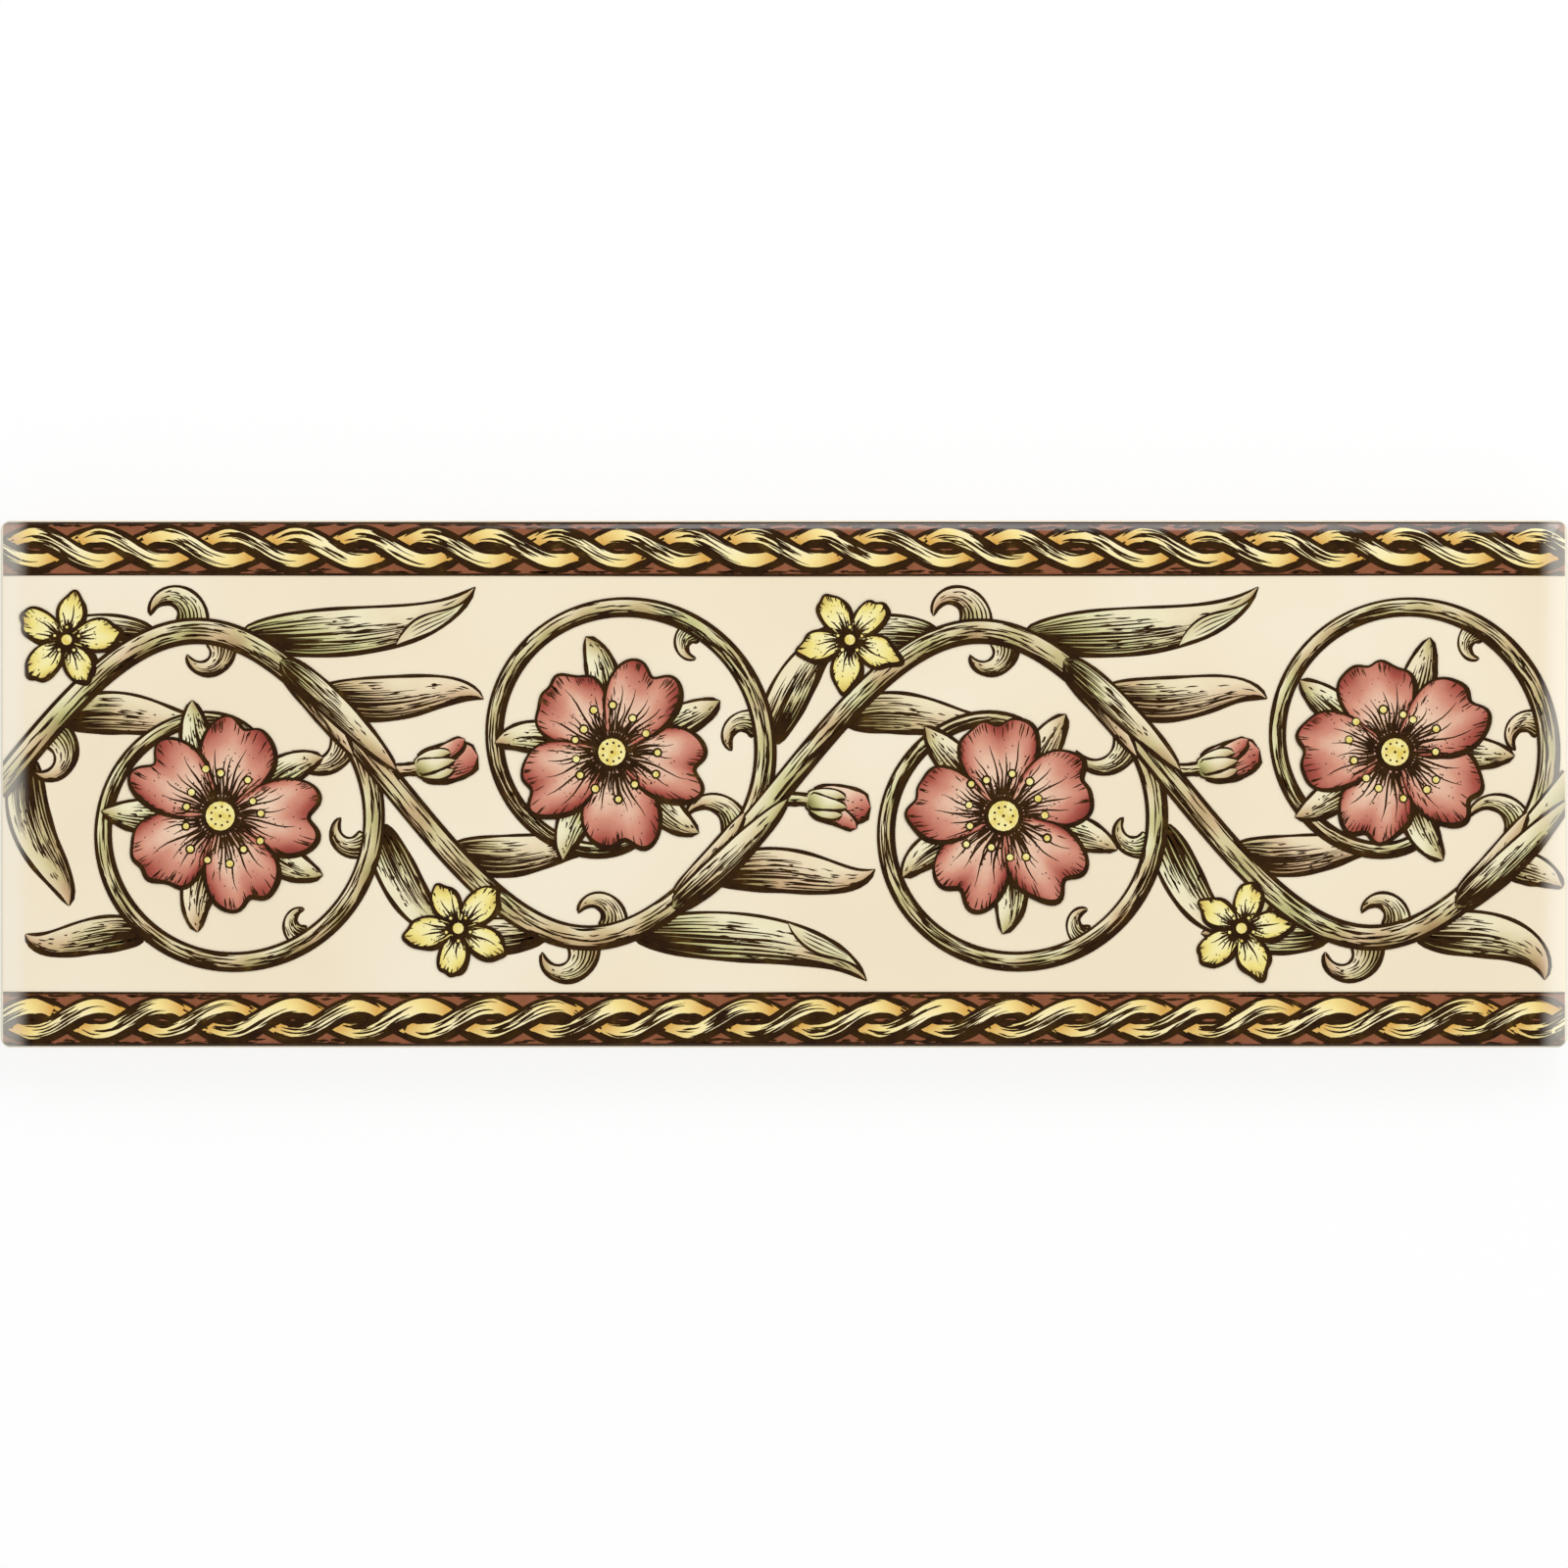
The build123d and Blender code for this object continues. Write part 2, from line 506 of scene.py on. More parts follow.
def husk(sheet):
    """Two leaves that sheathe the fork where the volute leaves the arch."""
    inner = [arch_point(8.6 + 7.5 * k / 20, -0.3 - 0.9 * (k / 20) ** 1.6)[0] for k in range(21)]
    outer = [arch_point(8.0 + 10.5 * k / 20, 0.3 + 0.9 * (k / 20) ** 1.6)[0] for k in range(21)]
    blade(sheet, inner, 2.0, 7, 0.38, 1.0, 0.2, lines=4, warm=0.6, rib=False)
    blade(sheet, outer, 2.5, 8, 0.40, 1.0, 0.2, lines=5, warm=0.3, rib=False)


def stalked_blossom(sheet, origin, turn):
    start, heading = origin
    stalk = bend(start, heading + 58, 2.4, 46, 1.0, 8)
    stem(sheet, stalk, 0.9, 5, lines=1)
    centre = stalk[-1] + cmath.rect(1.8, math.radians(heading + 104))
    blossom(sheet, centre, BLOSSOM_RADIUS, 7, turn)


def scroll_bay(sheet, index):
    """What grows in one bay. The first has more leaves, where the scroll comes in. The last has short
    ones and no bud, so that nothing runs off the tile but the stem."""
    volute = volute_line()
    dirs = directions(volute)
    first_steps = 69

    def on_volute(fraction, off):
        """Place and heading at a fraction of the volute's first steps, a little over half a round."""
        i = int(fraction * first_steps)
        return volute[i] + dirs[i] * 1j * off, math.degrees(cmath.phase(dirs[i]))

    opening, closing = index == 0, index == BAYS - 1
    # leaves and a bud in the space after the arch
    if closing:
        leaf(sheet, arch_point(4.0, 0.3), 22, 15, 40, 4.2, 1, 2.6, curl=60, warm=0.35, lines=7,
             power=1.45)
        leaf(sheet, arch_point(12.5, 0.2), 52, 6.5, 40, 2.8, 3, 1.6, warm=0.8, lines=4, power=1.4)
    else:
        leaf(sheet, arch_point(4.0, 0.3), 24, 24, 16, 4.4, 1, 3.0, curl=34, warm=0.2, lines=8,
             power=1.55, roll=-0.62)
        leaf(sheet, arch_point(11.5, 0.2), 36, 16.5, 62, 4.0, 3, 1.7, curl=-95, warm=0.8, lines=7,
             power=1.5)
        budded_stalk(sheet, arch_point(17.8, 0.2))
    if opening:
        leaf(sheet, arch_point(-16.6, -0.3), -150, 15.5, 84, 3.8, 1, 1.3, curl=-70, warm=0.5, lines=7)
        hook(sheet, arch_point(-14.6, -0.3), -70, 7.5, -200, 2.2, 2)
        leaf(sheet, on_volute(0.86, 0.2), 40, 12.0, 36, 3.2, 1, 1.3, curl=-85, warm=0.6, lines=6)
    # leaves round the arch and the volute
    leaf(sheet, arch_point(-4.0, 0.2), 150, 12.5, 36, 3.3, 1, 1.6, curl=-40, warm=0.3)
    leaf(sheet, arch_point(-13.5, -0.2), -34, 13.5, -50, 3.7, 2, 1.15, curl=60, warm=0.75)
    if not closing:
        leaf(sheet, on_volute(0.24, 0.2), 24, 13.5, 16, 3.6, 2, 1.3, curl=62, warm=0.25, lines=7)
    hook(sheet, on_volute(0.27, -0.2), -30, 6.0, -190, 1.8, 1)
    hook(sheet, on_volute(0.52, -0.2), -30, 4.6, -190, 1.6, 1)
    hook(sheet, on_volute(0.03, -0.2), -26, 8.0, -170, 2.0, 4)
    hook(sheet, arch_point(-0.5, 0.3), 70, 7.5, 200, 2.2, 3)
    hook(sheet, arch_point(2.2, -0.3), -46, 6.5, -200, 2.0, 4)
    stem(sheet, volute, BRANCH, 5, end_width=BRANCH_TIP)
    husk(sheet)
    stalked_blossom(sheet, arch_point(-9.5, 0.6), 80 + 20 * index)
    rose(sheet, complex(2.3, -3.1), ROSE_RADIUS, 7, 90 + 12 * (index - 1.5))


# The rope bands

def rope_run(bends, k, a, b, steps):
    """Centre line of the strand that passes over at crossing k, from fraction a to b of its run."""
    left = -LENGTH / 2 + (k - 0.5) * ROPE_PITCH + bends[k]
    right = -LENGTH / 2 + (k + 0.5) * ROPE_PITCH + bends[k + 1]
    out = []
    for q in range(steps + 1):
        f = a + (b - a) * q / steps
        out.append(complex(left + (right - left) * f, ROPE_MIDDLE + ROPE_SWING * math.cos(math.pi * f)))
    return out


def rope_strand(sheet, run, fat, level, tint, pinch=0.0):
    """One run of a strand, pinched at its ends. Returns what beside does, for the strokes on it."""
    last = len(run) - 1
    along = beside(run, [fat * min(1.0, 1 - pinch + 7 * pinch * min(i, last - i) / last)
                         for i in range(last + 1)])
    sheet.ribbon("rope", level, along, 4, lambda s, i: tint(i / last) - 0.12 * s)
    for s in (-1, 1):
        sheet.line(along(s), ROPE_OUTLINE, level + EDGE, pinch * 0.3, pinch * 0.3, 0.3, sheet.light * s)
    return along


def rope_band(sheet):
    """The upper band: its ground, the strands that pass under, those that pass over, its rules."""
    rng = sheet.rng
    top, foot = WIDTH / 2, WIDTH / 2 - BAND
    columns, rows = 240, 12
    ground = [[complex(-LENGTH / 2 + LENGTH * i / columns, top - BAND * j / rows)
               for i in range(columns + 1)] for j in range(rows + 1)]
    sheet.wash("ground", 0, ground, [[0.5] * (columns + 1)] * (rows + 1))
    # strokes that darken the ground along its edges and in the rope's eyes
    for k in range(GROUND_STROKES):
        x = rng.uniform(-LENGTH / 2, LENGTH / 2 - 1)
        y = rng.choice((ROPE_MIDDLE, top - 0.3, foot + 0.2)) + rng.uniform(-0.42, 0.42)
        reach = rng.uniform(0.8, 2.2)
        y = min(top - 0.35, max(foot + 0.25, y))
        sheet.line([complex(x + reach * q / 4, y) for q in range(5)], 0.23, STROKE, 0.3, 0.5)
    bends = [rng.uniform(-0.13, 0.13) for _ in range(CROSSINGS + 4)]
    for k in range(CROSSINGS + 2):
        under = [complex(p.real, 2 * ROPE_MIDDLE - p.imag) for p in rope_run(bends, k, -0.02, 1.02, 16)]
        along = rope_strand(sheet, under, ROPE_HALF * rng.uniform(0.93, 1.06), 1 + k % 2,
                            lambda t: 0.62 + 0.38 * math.sin(math.pi * t))
        for q in range(9):
            a = rng.choice((rng.uniform(0.0, 0.26), rng.uniform(0.58, 0.8)))
            piece = stretch(along(rng.uniform(-0.8, 0.8)), a, a + rng.uniform(0.12, 0.2), 4)
            sheet.line(piece, HATCH, 1 + k % 2 + STROKE, 0.1, 0.6)
    for k in range(CROSSINGS + 2):
        over = rope_run(bends, k, -0.30, 1.30, 26)
        along = rope_strand(sheet, over, ROPE_HALF * rng.uniform(0.97, 1.10), 3,
                            lambda t: 0.2 + 0.8 * abs(2 * t - 1) ** 1.9, 0.4)
        for q in range(12):
            path = along(-0.84 + 1.68 * (q + 0.5) / 12 + rng.uniform(-0.08, 0.08))
            a = rng.uniform(0.02, 0.5)
            width = rng.choice((0.15, 0.19, 0.26))
            stroke = stretch(path, a, min(0.98, a + rng.uniform(0.16, 0.5)), 8)
            sheet.line(stroke, width, 3 + STROKE, 0.3, 0.6)
    for middle, width in ((top - 0.15, 0.26), (foot, 0.22)):
        rule = [complex(-LENGTH / 2 + LENGTH * k / columns, middle) for k in range(columns + 1)]
        sheet.line(rule, width, 4, 0, 0)


# Materials. Every printed colour lies under the same clear glaze, so all share its gloss and its
# slight unevenness, and differ in colour alone.

GLAZE_IOR = 1.5
GLAZE_ROUGHNESS = 0.09

# Sizes of the patterns, all but the last two the real ones: the glaze's slow waves and their height,
# the spots where it lies thick, the mottle of a brushed wash, the patches of tan, the spots of lean
# ink and of thin enamel, and the clay's grit and its height
RIPPLE_MM = 9.0
RIPPLE_HEIGHT_MM = 0.012
THICK_MM = 24.0
MOTTLE_MM = 1.6
TAN_MM = 5.0
LEAN_MM = 2.4
THIN_MM = 0.9
GRIT_MM = 0.5
GRIT_HEIGHT_MM = 0.03

# The painted sheen on the cushioned ends, which whitens the colour where they catch the light: its
# share at full strength, how far from the end it is at full strength, and how far from the end it is gone
PAINTED_SHEEN = 0.31
PAINTED_SHEEN_FULL_MM = 1.1
PAINTED_SHEEN_GONE_MM = 2.9

# The washes: the name of each, its slot, how much the brush mottles it, and its colours from a dry
# brush to a pool. The leaves have a second, warmer set.
WASHES = {
    # olive leaves that turn tan in soft patches, pale where the brush ran dry
    "leaf": ("underglaze_leaf_wash", "print_foliage", 0.16,
             ((0.0, "EEE8C4"), (0.4, "CECA90"), (0.75, "A09A60"), (1.0, "767042")),
             ((0.0, "EEDDBB"), (0.4, "D0B18A"), (0.75, "A7865F"), (1.0, "826340"))),
    # dusty rose petals, pale in the middle and a deep brownish red at the rim
    "rose": ("underglaze_rose_wash", "print_blossom", 0.2,
             ((0.0, "EFD2B6"), (0.33, "D39079"), (0.68, "A95547"), (1.0, "752D27"))),
    # small clear yellow flowers, ochre in their folds
    "yellow": ("underglaze_yellow_wash", "print_blossom", 0.16,
               ((0.0, "F8F0BC"), (0.45, "EFDF84"), (1.0, "C09A44"))),
    # butter-yellow strands that turn golden where they pass under
    "rope": ("underglaze_rope_wash", "print_rope", 0.16,
             ((0.0, "FBF3CF"), (0.45, "F7E297"), (1.0, "DBA852"))),
    # a brick-brown ground, laid on unevenly
    "ground": ("underglaze_red_ground", "print_ground", 0.5,
               ((0.2, "A0664D"), (0.5, "8E573B"), (0.8, "6F412B")))}


def linear(hex_colour):
    """An sRGB hex colour as the linear values that Blender takes."""
    channels = [int(hex_colour[i:i + 2], 16) / 255 for i in (0, 2, 4)]
    return [c / 12.92 if c <= 0.04045 else ((c + 0.055) / 1.055) ** 2.4 for c in channels] + [1.0]


def add(tree, kind, settings=None, links=None):
    """A node with its settings and links, each named for its socket or given its place among them.
    Stops are the places and colours of a ramp."""
    node = tree.nodes.new(kind)
    for name, value in (settings or {}).items():
        if name == "stops":
            elements = node.color_ramp.elements
            for _ in value[2:]:
                elements.new(0.5)
            for element, (position, colour) in zip(elements, value):
                element.position = position
                element.color = linear(colour)
        elif isinstance(name, int) or name in node.inputs:
            node.inputs[name].default_value = value
        else:
            setattr(node, name, value)
    for name, output in (links or {}).items():
        tree.links.new(output, node.inputs[name])
    return node


def new_material(name):
    """An empty material, its node tree, and the place on the tile that its patterns follow."""
    material = bpy.data.materials.new(name)
    material.use_nodes = True
    material.node_tree.nodes.clear()
    tree = material.node_tree
    return material, tree, add(tree, "ShaderNodeTexCoord").outputs["Object"]


def glazed(material, tree, place, colour):
    """Finishes a material: its colour under a gloss glaze whose slow unevenness breaks up the lamps, and
    a painted sheen that whitens the colour over the cushioned ends, where they catch the light, so that
    the print pales there."""
    along = add(tree, "ShaderNodeSeparateXYZ", None, {"Vector": place}).outputs["X"]
    out = add(tree, "ShaderNodeMath", {"operation": "ABSOLUTE"}, {0: along}).outputs["Value"]
    # painted sheen: towards the cushioned ends the colour is mixed with near-white
    painted_sheen = add(tree, "ShaderNodeMapRange",
               {"interpolation_type": "SMOOTHSTEP", "From Min": (LENGTH / 2 - PAINTED_SHEEN_GONE_MM) * MM,
                "From Max": (LENGTH / 2 - PAINTED_SHEEN_FULL_MM) * MM, "To Max": PAINTED_SHEEN},
               {"Value": out}).outputs["Result"]
    colour = add(tree, "ShaderNodeMix", {"data_type": "RGBA", 7: linear("F8F5EA")},
                 {0: painted_sheen, 6: colour}).outputs[2]
    height = add(tree, "ShaderNodeTexNoise", {"Scale": 1 / (RIPPLE_MM * MM), "Detail": 1.0},
                 {"Vector": place})
    ripple = add(tree, "ShaderNodeBump", {"Strength": 1.0, "Distance": RIPPLE_HEIGHT_MM * MM},
                 {"Height": height.outputs["Fac"]})
    shader = add(tree, "ShaderNodeBsdfPrincipled", {"Roughness": GLAZE_ROUGHNESS, "IOR": GLAZE_IOR},
                 {"Base Color": colour, "Normal": ripple.outputs["Normal"]})
    add(tree, "ShaderNodeOutputMaterial", None, {"Surface": shader.outputs["BSDF"]})
    return material


def washed(name, mottle, cool, warm=None):
    """Hand-tinted underglaze wash: pale where the brush was dry, deeper where the colour pooled. A
    warm set of colours shows through the cool one in soft patches."""
    material, tree, place = new_material(name)
    uneven = add(tree, "ShaderNodeTexNoise",
                 {"Scale": 1 / (MOTTLE_MM * MM), "Detail": 3.0, "Roughness": 0.6}, {"Vector": place})
    drift = add(tree, "ShaderNodeMath", {"operation": "MULTIPLY_ADD", 1: mottle, 2: -mottle / 2},
                {0: uneven.outputs["Fac"]})
    tint = add(tree, "ShaderNodeAttribute", {"attribute_name": "tint"})
    depth = add(tree, "ShaderNodeMath", {"operation": "ADD"},
                {0: tint.outputs["Fac"], 1: drift.outputs["Value"]})
    wash = add(tree, "ShaderNodeValToRGB", {"stops": cool}, {"Fac": depth.outputs["Value"]})
    if not warm:
        return glazed(material, tree, place, wash.outputs["Color"])
    patches = add(tree, "ShaderNodeTexNoise", {"Scale": 1 / (TAN_MM * MM), "Detail": 2.0},
                  {"Vector": place})
    wander = add(tree, "ShaderNodeMath", {"operation": "MULTIPLY_ADD", 1: 2.4, 2: -1.2},
                 {0: patches.outputs["Fac"]})
    share = add(tree, "ShaderNodeAttribute", {"attribute_name": "warm"})
    share = add(tree, "ShaderNodeMath", {"operation": "ADD", "use_clamp": True},
                {0: share.outputs["Fac"], 1: wander.outputs["Value"]})
    brown = add(tree, "ShaderNodeValToRGB", {"stops": warm}, {"Fac": depth.outputs["Value"]})
    both = add(tree, "ShaderNodeMix", {"data_type": "RGBA"},
               {0: share.outputs["Value"], 6: wash.outputs["Color"], 7: brown.outputs["Color"]})
    return glazed(material, tree, place, both.outputs[2])


def drifting(name, size_mm, detail, roughness, stops):
    """A glazed colour that drifts between a few stops, over spots of some size."""
    material, tree, place = new_material(name)
    drift = add(tree, "ShaderNodeTexNoise",
                {"Scale": 1 / (size_mm * MM), "Detail": detail, "Roughness": roughness},
                {"Vector": place})
    colour = add(tree, "ShaderNodeValToRGB", {"stops": stops}, {"Fac": drift.outputs["Fac"]})
    return glazed(material, tree, place, colour.outputs["Color"])


def printed_line(name):
    """Transfer-printed line: a dark brown that thins to olive where the ink is lean."""
    return drifting(name, LEAN_MM, 3.0, 0.65, ((0.35, "281505"), (0.62, "3A2407"), (0.78, "5C4518")))


def anther_yellow(name):
    """Thick yellow enamel, one even touch of the brush for each anther."""
    return drifting(name, THIN_MM, 2.0, 0.5, ((0.35, "F4E9A0"), (0.7, "E2C95E")))


def cream_glaze(name):
    """Cream gloss glaze: almost even, a little deeper where it lies thick."""
    return drifting(name, THICK_MM, 2.0, 0.5, ((0.35, "F4E9D1"), (0.65, "F0E2C6")))


def buff_biscuit(name):
    """Fired clay pressed from dust: dry, matt and buff. Its grit is drawn several times coarser than
    the tenth of a millimetre it has, which would not show."""
    material, tree, place = new_material(name)
    grit = add(tree, "ShaderNodeTexNoise",
               {"Scale": 1 / (GRIT_MM * MM), "Detail": 4.0, "Roughness": 0.7}, {"Vector": place})
    buff = add(tree, "ShaderNodeValToRGB",
               {"stops": ((0.3, "CDB391"), (0.55, "DCC6A6"), (0.75, "E6D5BA"))},
               {"Fac": grit.outputs["Fac"]})
    rough = add(tree, "ShaderNodeBump", {"Strength": 0.6, "Distance": GRIT_HEIGHT_MM * MM},
                {"Height": grit.outputs["Fac"]})
    clay = add(tree, "ShaderNodeBsdfPrincipled", {"Roughness": 0.85},
               {"Base Color": buff.outputs["Color"], "Normal": rough.outputs["Normal"]})
    add(tree, "ShaderNodeOutputMaterial", None, {"Surface": clay.outputs["BSDF"]})
    return material


# Meshes

def new_object(name, data):
    thing = bpy.data.objects.new(name, data)
    bpy.context.scene.collection.objects.link(thing)
    return thing


def new_piece(name, bm, material, slot):
    """A finished piece at the origin, its place in its mesh, riding on the tile."""
    bmesh.ops.scale(bm, vec=[MM] * 3, verts=bm.verts)
    mesh = bpy.data.meshes.new(name)
    bm.to_mesh(mesh)
    bm.free()
    mesh.materials.append(material)
    piece = new_object(name, mesh)
    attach(piece, "root")
    return piece


def smooth(mesh, angle):
    """Smooth shading, with a sharp edge wherever the surface turns by more than an angle."""
    mesh.shade_smooth()
    mesh.set_sharp_from_angle(angle=math.radians(angle))


def biscuit_body(material):
    """The fired clay body: the CAD solid, merged and shaded smooth."""
    bm = bmesh.new()
    bm.from_mesh(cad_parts["tile"].data)
    bmesh.ops.remove_doubles(bm, verts=bm.verts, dist=TOUCH * MM)
    bmesh.ops.scale(bm, vec=[1 / MM] * 3, verts=bm.verts)
    body = new_piece("biscuit_body", bm, material, "biscuit")
    smooth(body.data, 35)
    weighted = body.modifiers.new("flat_faces_stay_flat", "WEIGHTED_NORMAL")
    weighted.keep_sharp = True
    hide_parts("tile")


def upper_profile():
    """(inset, height, lean) from the joint band over the arris and the cushion to the flat face.
    The lean is the surface's angle from upright, 0 on the band and a right angle on the flat."""
    cushion_radius = (CUSHION_RUN ** 2 + CUSHION_DROP ** 2) / (2 * CUSHION_DROP)
    centre_height = THICKNESS - cushion_radius
    reach = cushion_radius - ARRIS_RADIUS
    meet = math.asin((CUSHION_RUN - ARRIS_RADIUS) / reach)
    arris_height = centre_height + reach * math.cos(meet)
    profile = []
    for k in range(7):
        lean = (math.pi / 2 - meet) * k / 6
        profile.append((ARRIS_RADIUS * (1 - math.cos(lean)),
                        arris_height + ARRIS_RADIUS * math.sin(lean), lean))
    for k in range(1, 15):
        fall = meet * (1 - k / 14)
        profile.append((CUSHION_RUN - cushion_radius * math.sin(fall),
                        centre_height + cushion_radius * math.cos(fall), math.pi / 2 - fall))
    return profile


def coat_rings():
    """(inset, height, wander) of each ring of the glaze, from inside the body, round its lip and up.
    The wander is the ring's share of the lip's ups and downs."""
    rings = [(0.6, GLAZE_LINE + 1, 0.0), (0.1, GLAZE_LINE, 1.0)]
    for k in range(6):
        angle = math.radians(-80 + 30 * k)
        rings.append((-1.5 * GLAZE * math.cos(angle), GLAZE_LINE + 0.25 * (1 + math.sin(angle)), 1.0))
    rings.append((-GLAZE, GLAZE_LINE + 1.2, 0.4))
    for inset, height, lean in upper_profile():
        rings.append((inset - GLAZE * math.cos(lean), height + GLAZE * math.sin(lean), 0.0))
    rings.append((CUSHION_RUN + 0.5, THICKNESS + GLAZE, 0.0))
    return rings


def core_place(place, inset=0.0):
    """The nearest place of the plan's core, the rectangle between the centres of its corners."""
    reach = max(inset, CORNER_RADIUS)
    core = Vector((LENGTH / 2 - reach, WIDTH / 2 - reach))
    return Vector((max(-core.x, min(core.x, place.x)), max(-core.y, min(core.y, place.y))))


def inset_place(place, inset):
    """Where a place on the tile's rounded outline goes when the outline is inset."""
    core = core_place(place, inset)
    return core + (place - core) * max(0.0, 1 - inset / CORNER_RADIUS)


def glaze_coat(material):
    """The glaze: a skin over the face and the upper edges that ends in a soft, wandering lip."""
    bm = bmesh.new()
    outline = bm.verts.layers.float_vector.new("outline")
    corners = bmesh.ops.create_grid(bm, x_segments=1, y_segments=1, size=0.5)["verts"]
    bmesh.ops.scale(bm, vec=(LENGTH, WIDTH, 1), verts=corners)
    bmesh.ops.bevel(bm, geom=corners, offset=CORNER_RADIUS, segments=8, profile=0.5, affect="VERTICES",
                    material=-1)
    for edge in [e for e in bm.edges if e.calc_length() > 2 * RIM_STEP]:
        bmesh.ops.subdivide_edges(bm, edges=[edge], cuts=int(edge.calc_length() / RIM_STEP))
    bmesh.ops.delete(bm, geom=bm.faces[:], context="FACES_ONLY")
    for v in bm.verts:
        v[outline] = v.co
    verts, edges = bm.verts[:], bm.edges[:]
    ends = []
    for index, (inset, height, wander) in enumerate(coat_rings()):
        if index:
            grown = bmesh.ops.extrude_edge_only(bm, edges=edges)["geom"]
            verts = [g for g in grown if isinstance(g, bmesh.types.BMVert)]
            edges = [e for e in grown if isinstance(e, bmesh.types.BMEdge) and set(e.verts) <= set(verts)]
        for v in verts:
            place = v[outline].xy
            slow = math.sin(place.x * 0.31 + place.y * 0.22)
            wave = slow + 0.6 * math.sin(place.x * 0.83 - place.y * 0.5 + 1)
            v.co = (*inset_place(place, inset), height + LIP_WANDER * wander * wave / 2)
        if index == 0:
            ends.append(edges)
    ends.append(edges)
    for rim in ends:
        bmesh.ops.contextual_create(bm, geom=rim)
    bmesh.ops.remove_doubles(bm, verts=bm.verts, dist=TOUCH)
    bmesh.ops.recalc_face_normals(bm, faces=bm.faces)
    bm.verts.layers.float_vector.remove(bm.verts.layers.float_vector["outline"])
    coat = new_piece("glaze_coat", bm, material, "glaze")
    smooth(coat.data, 50)
    return coat


def surface_of(coat):
    """Function that gives the glaze's point above a place on the plan, in millimetres."""
    bm = bmesh.new()
    bm.from_mesh(coat.data)
    bmesh.ops.scale(bm, vec=[1 / MM] * 3, verts=bm.verts)
    tree = BVHTree.FromBMesh(bm)
    bm.free()
    down = Vector((0, 0, -1))
    corner = CORNER_RADIUS - PRINT_MARGIN

    def lay(place):
        core = core_place(place)
        out = place - core
        if out.length > corner:
            out *= corner / out.length
        return tree.ray_cast((core + out).to_3d() + Vector((0, 0, THICKNESS + 5)), down)[0]

    return lay


def fold_lines(bm):
    """Cuts flat films off at the print's margins, and scores them at set distances inside, so that
    they bend as the arris and the cushion do."""
    for side, end in ((-1, -1), (-1, 1), (1, -1), (1, 1)):
        centre = Vector((side * (LENGTH / 2 - CORNER_RADIUS), end * (WIDTH / 2 - CORNER_RADIUS), 0))
        for k in range(7):
            angle = math.radians(15 * k)
            out = Vector((side * math.cos(angle), end * math.sin(angle), 0))
            straight = k in (0, 6)
            margin = PRINT_MARGIN if k else END_MARGIN
            for inset in (margin, *(FOLDS if straight else FOLDS[:5])):
                if inset < margin:
                    continue
                near = [f for f in bm.faces
                        if straight or (f.calc_center_median() - centre).length < CUSHION_RUN]
                geometry = {g for f in near for g in (f, *f.edges, *f.verts)}
                bmesh.ops.bisect_plane(bm, geom=list(geometry), dist=TOUCH, plane_no=out,
                                       plane_co=centre + out * (CORNER_RADIUS - inset),
                                       clear_outer=inset == margin)


def film(name, sheet, kind, material, slot, lay):
    """Everything of one kind on a sheet, as closed films that stand a hair above the glaze."""
    bm = bmesh.new()
    tint_layer = bm.verts.layers.float.new("tint")
    warm_layer = bm.verts.layers.float.new("warm")
    level_layer = bm.verts.layers.float.new("level")
    for drawn, level, rows, tints, warm in sheet.patches:
        if drawn != kind:
            continue
        last = len(rows[0]) - 1
        made = bmesh.ops.create_grid(bm, x_segments=last, y_segments=len(rows) - 1, size=1)
        for index, v in enumerate(made["verts"]):
            j, i = divmod(index, last + 1)
            v.co = sheet.on_tile(rows[j][i])
            v[tint_layer] = tints[j][i] if tints else 0.5
            v[warm_layer] = warm[0] + (warm[1] - warm[0]) * i / last
            v[level_layer] = level
    for drawn, centre, radius, level, sides in sheet.dots:
        if drawn != kind:
            continue
        made = bmesh.ops.create_circle(bm, cap_ends=True, segments=sides, radius=radius)
        bmesh.ops.translate(bm, vec=sheet.on_tile(centre), verts=made["verts"])
        for v in made["verts"]:
            v[tint_layer] = 0.5
            v[level_layer] = level
    fold_lines(bm)
    for v in bm.verts:
        v.co = lay(v.co.xy)
    grown = bmesh.ops.extrude_face_region(bm, geom=bm.faces[:], use_keep_orig=True)
    upper = [g for g in grown["geom"] if isinstance(g, bmesh.types.BMVert)]
    lower = set(bm.verts) - set(upper)
    for v in upper:
        v.co.z += FIRST_LEVEL + LEVEL * v[level_layer]
    for v in lower:
        v.co.z -= SUNK
    bmesh.ops.recalc_face_normals(bm, faces=bm.faces)
    bm.verts.layers.float.remove(bm.verts.layers.float["level"])
    new_piece(name, bm, material, slot)


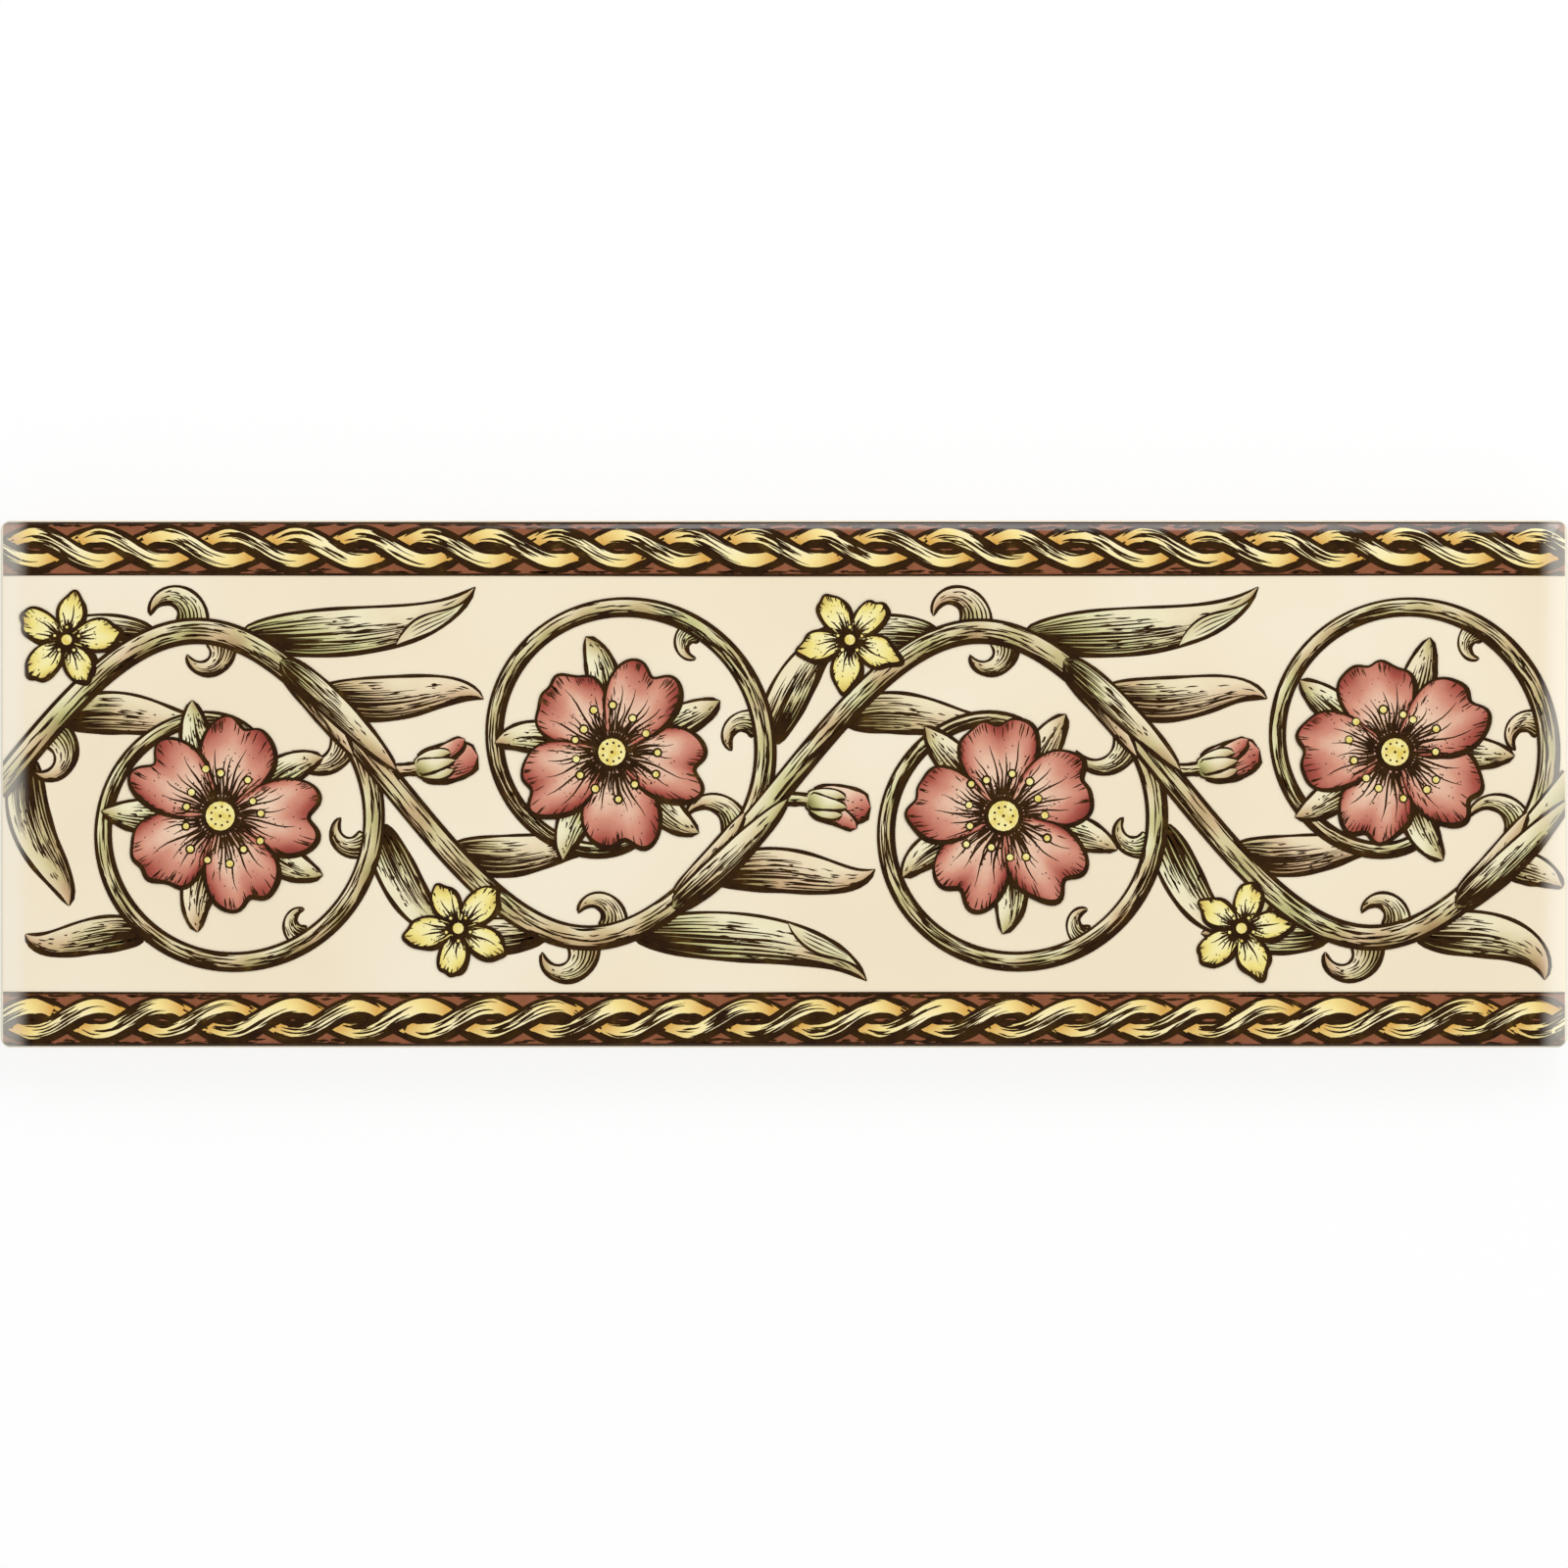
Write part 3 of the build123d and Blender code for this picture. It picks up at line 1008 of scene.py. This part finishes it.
def build():
    """The body, its glaze and, printed on that, the bands, the main stem and the bays."""
    paints = {kind: (washed(name, mottle, *stops), slot)
              for kind, (name, slot, mottle, *stops) in WASHES.items()}
    paints["line"] = printed_line("transfer_print_line"), "print_ink"
    paints["anther"] = anther_yellow("yellow_anther_enamel"), "print_rope"
    biscuit_body(buff_biscuit("pressed_biscuit_clay"))
    lay = surface_of(glaze_coat(cream_glaze("cream_gloss_glaze")))

    def print_sheet(name, sheet, parts):
        for part, kind in parts.items():
            film(f"{name}_{part}", sheet, kind, *paints[kind], lay)

    for name, up, seed in (("rope_upper", True, 5), ("rope_lower", False, 6)):
        sheet = Sheet(seed, 0, up)
        rope_band(sheet)
        print_sheet(name, sheet, {"ground": "ground", "strands": "rope", "lines": "line"})
    sheet = Sheet(3, -LENGTH / 2 + BAY / 2, True)
    main_stem(sheet)
    print_sheet("main_stem", sheet, {"wash": "leaf", "lines": "line"})
    for index in range(BAYS):
        sheet = Sheet(11 + index, -LENGTH / 2 + BAY * (index + 0.5), index % 2 == 0)
        scroll_bay(sheet, index)
        print_sheet(f"scroll_{index + 1}", sheet,
                    {"leaves": "leaf", "rose": "rose", "blossom": "yellow", "anthers": "anther",
                     "lines": "line"})


# Floor, light and camera. Strengths are against white at 1: the panels off the right end, the left
# end and the long sides, the dim part straight above, the light from the paper, and how much of the
# floor's white glows by itself. The panels rise from their HORIZON share to full at PANELS_FULL, the
# sine of a height. The key stands above the tile's upper side.

WHITE = (1, 1, 1, 1)
RIGHT_PANEL = 1.74
LEFT_PANEL = 1.1
SIDE_PANELS = 0.85
ZENITH = 0.1
HORIZON = 0.15
PANELS_FULL = 0.7
PAPER_LIGHT = 0.8
FLOOR_GLOW = 0.8
KEY_PLACE = (0.10, 0.35, 0.50)
KEY_SIZE = 0.25
KEY_WATTS = 1.0

# The lens, and the tile's length in the photo's own width
LENS_MM = 200
SENSOR_MM = 36
PHOTO_PIXELS = 1600
TILE_PIXELS = 1598


def floor():
    """A sheet of white paper that only the camera sees, and only from above, so that the back of the
    tile shows and is lit."""
    bm = bmesh.new()
    bmesh.ops.create_grid(bm, x_segments=1, y_segments=1, size=1.5)
    bmesh.ops.translate(bm, vec=(0, 0, -0.05 * MM), verts=bm.verts)
    mesh = bpy.data.meshes.new("floor")
    bm.to_mesh(mesh)
    bm.free()
    material, tree, _ = new_material("white_paper")
    paper = add(tree, "ShaderNodeBsdfDiffuse", {"Color": (0.95, 0.95, 0.95, 1)})
    glow = add(tree, "ShaderNodeEmission", {"Color": WHITE, "Strength": 1.0})
    clear = add(tree, "ShaderNodeBsdfTransparent", {"Color": WHITE})
    white = add(tree, "ShaderNodeMixShader", {"Fac": FLOOR_GLOW},
                {1: paper.outputs["BSDF"], 2: glow.outputs["Emission"]})
    seen = add(tree, "ShaderNodeLightPath").outputs["Is Camera Ray"]
    below = add(tree, "ShaderNodeNewGeometry").outputs["Backfacing"]
    shown = add(tree, "ShaderNodeMath", {"operation": "SUBTRACT", "use_clamp": True}, {0: seen, 1: below})
    sheet = add(tree, "ShaderNodeMixShader", None,
                {"Fac": shown.outputs["Value"], 1: clear.outputs["BSDF"], 2: white.outputs["Shader"]})
    add(tree, "ShaderNodeOutputMaterial", None, {"Surface": sheet.outputs["Shader"]})
    mesh.materials.append(material)
    new_object("floor", mesh)


def key_softbox():
    """One weak square lamp, for a highlight on the glaze and a soft shadow on the paper."""
    lamp = bpy.data.lights.new("key_softbox", "AREA")
    lamp.shape = "RECTANGLE"
    lamp.size = lamp.size_y = KEY_SIZE
    lamp.energy = KEY_WATTS
    holder = new_object("key_softbox", lamp)
    holder.location = KEY_PLACE
    holder.rotation_euler = (-Vector(KEY_PLACE)).to_track_quat("-Z", "Y").to_euler()


def copy_stand_light():
    """A studio laid out for flat work: dim above the lens, with bright panels off to the sides, so
    that only the cushioned ends catch a reflection. The panels fade towards the horizon, and light
    from below stands for what the paper throws back. The camera sees plain white."""
    world = bpy.data.worlds.new("copy_stand_light")
    world.use_nodes = True
    tree = world.node_tree
    tree.nodes.clear()
    way = add(tree, "ShaderNodeTexCoord").outputs["Generated"]
    way = add(tree, "ShaderNodeSeparateXYZ", None, {"Vector": way}).outputs
    across = add(tree, "ShaderNodeMath", {"operation": "ABSOLUTE"}, {0: way["Y"]}).outputs["Value"]
    total = None
    for axis, start, end, dim, bright in ((way["X"], 0.12, 0.62, ZENITH, RIGHT_PANEL),
                                          (way["X"], -0.12, -0.62, 0.0, LEFT_PANEL),
                                          (across, 0.5, 0.85, 0.0, SIDE_PANELS)):
        panel = add(tree, "ShaderNodeMapRange",
                    {"interpolation_type": "SMOOTHSTEP", "From Min": start, "From Max": end,
                     "To Min": dim, "To Max": bright}, {"Value": axis}).outputs["Result"]
        if total:
            panel = add(tree, "ShaderNodeMath", {"operation": "ADD"},
                        {0: total, 1: panel}).outputs["Value"]
        total = panel
    fade = add(tree, "ShaderNodeMapRange",
               {"interpolation_type": "SMOOTHSTEP", "From Max": PANELS_FULL, "To Min": HORIZON},
               {"Value": way["Z"]})
    faded = add(tree, "ShaderNodeMath", {"operation": "MULTIPLY"}, {0: total, 1: fade.outputs["Result"]})
    above = add(tree, "ShaderNodeBackground", {"Color": WHITE},
                {"Strength": faded.outputs["Value"]})
    under = add(tree, "ShaderNodeBackground", {"Color": WHITE, "Strength": PAPER_LIGHT})
    plain = add(tree, "ShaderNodeBackground", {"Color": WHITE, "Strength": 1.0})
    up = add(tree, "ShaderNodeMapRange", {"From Min": -0.05, "From Max": 0.05}, {"Value": way["Z"]})
    around = add(tree, "ShaderNodeMixShader", None,
                 {"Fac": up.outputs["Result"], 1: under.outputs["Background"],
                  2: above.outputs["Background"]})
    seen = add(tree, "ShaderNodeLightPath").outputs["Is Camera Ray"]
    sky = add(tree, "ShaderNodeMixShader", None,
              {"Fac": seen, 1: around.outputs["Shader"], 2: plain.outputs["Background"]})
    add(tree, "ShaderNodeOutputWorld", None, {"Surface": sky.outputs["Shader"]})
    bpy.context.scene.world = world


def studio():
    """The light, and a camera straight above the tile whose frame the tile fills from end to end."""
    scene = bpy.context.scene
    scene.view_settings.view_transform = "Standard"
    copy_stand_light()
    key_softbox()
    lens = bpy.data.cameras.new("camera")
    lens.lens = LENS_MM
    lens.sensor_width = SENSOR_MM
    camera = new_object("camera", lens)
    half_view = math.atan(lens.sensor_width / 2 / lens.lens)
    frame_width = LENGTH * MM * PHOTO_PIXELS / TILE_PIXELS
    distance = frame_width / 2 / math.tan(half_view)
    camera.location = (0, 0, THICKNESS * MM + distance)
    lens.clip_start, lens.clip_end = 0.05, 10
    scene.camera = camera


build()
floor()
studio()
